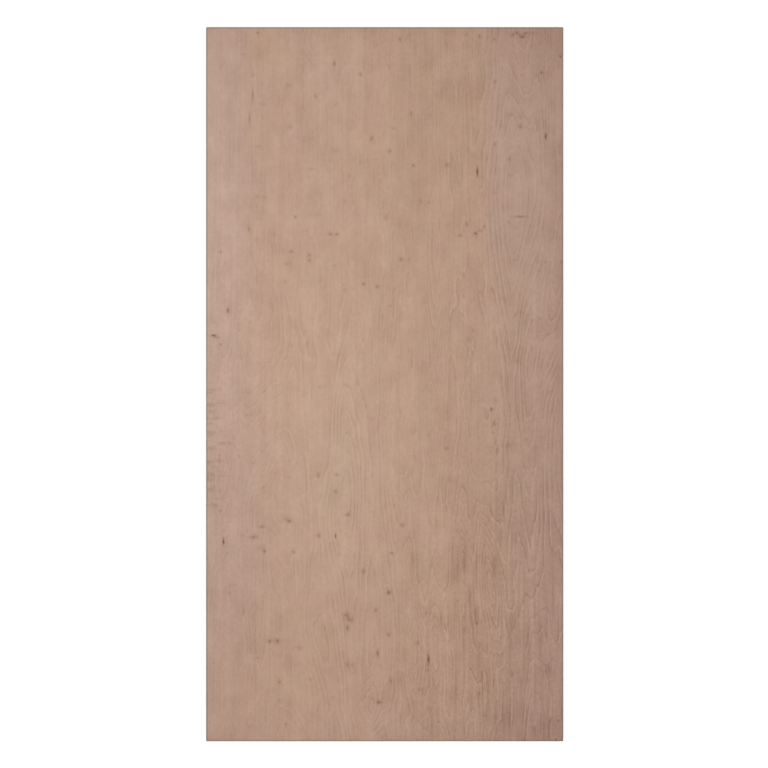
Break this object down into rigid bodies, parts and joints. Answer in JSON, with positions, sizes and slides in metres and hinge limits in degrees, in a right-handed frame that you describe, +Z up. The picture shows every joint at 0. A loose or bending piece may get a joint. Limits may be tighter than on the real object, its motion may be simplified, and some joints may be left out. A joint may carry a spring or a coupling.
{
  "type": "plywood sheet",
  "caption": "Full flat rectangular sheet of hardwood plywood with sawn, eased edges, used as a building panel, deck or sheathing board.",
  "frame": {"origin": "middle of the underside, which lies on the floor", "axes": "+X across the sheet, +Y along the length and the grain of the face veneers, +Z up through the thickness, out of the better face"},
  "size_m": [1.22, 2.44, 0.018],
  "materials": {
    "hardwood_plywood": "matte"
  },
  "bodies": {
    "root": {"plywood_sheet": "hardwood_plywood"}
  },
  "joints": []
}
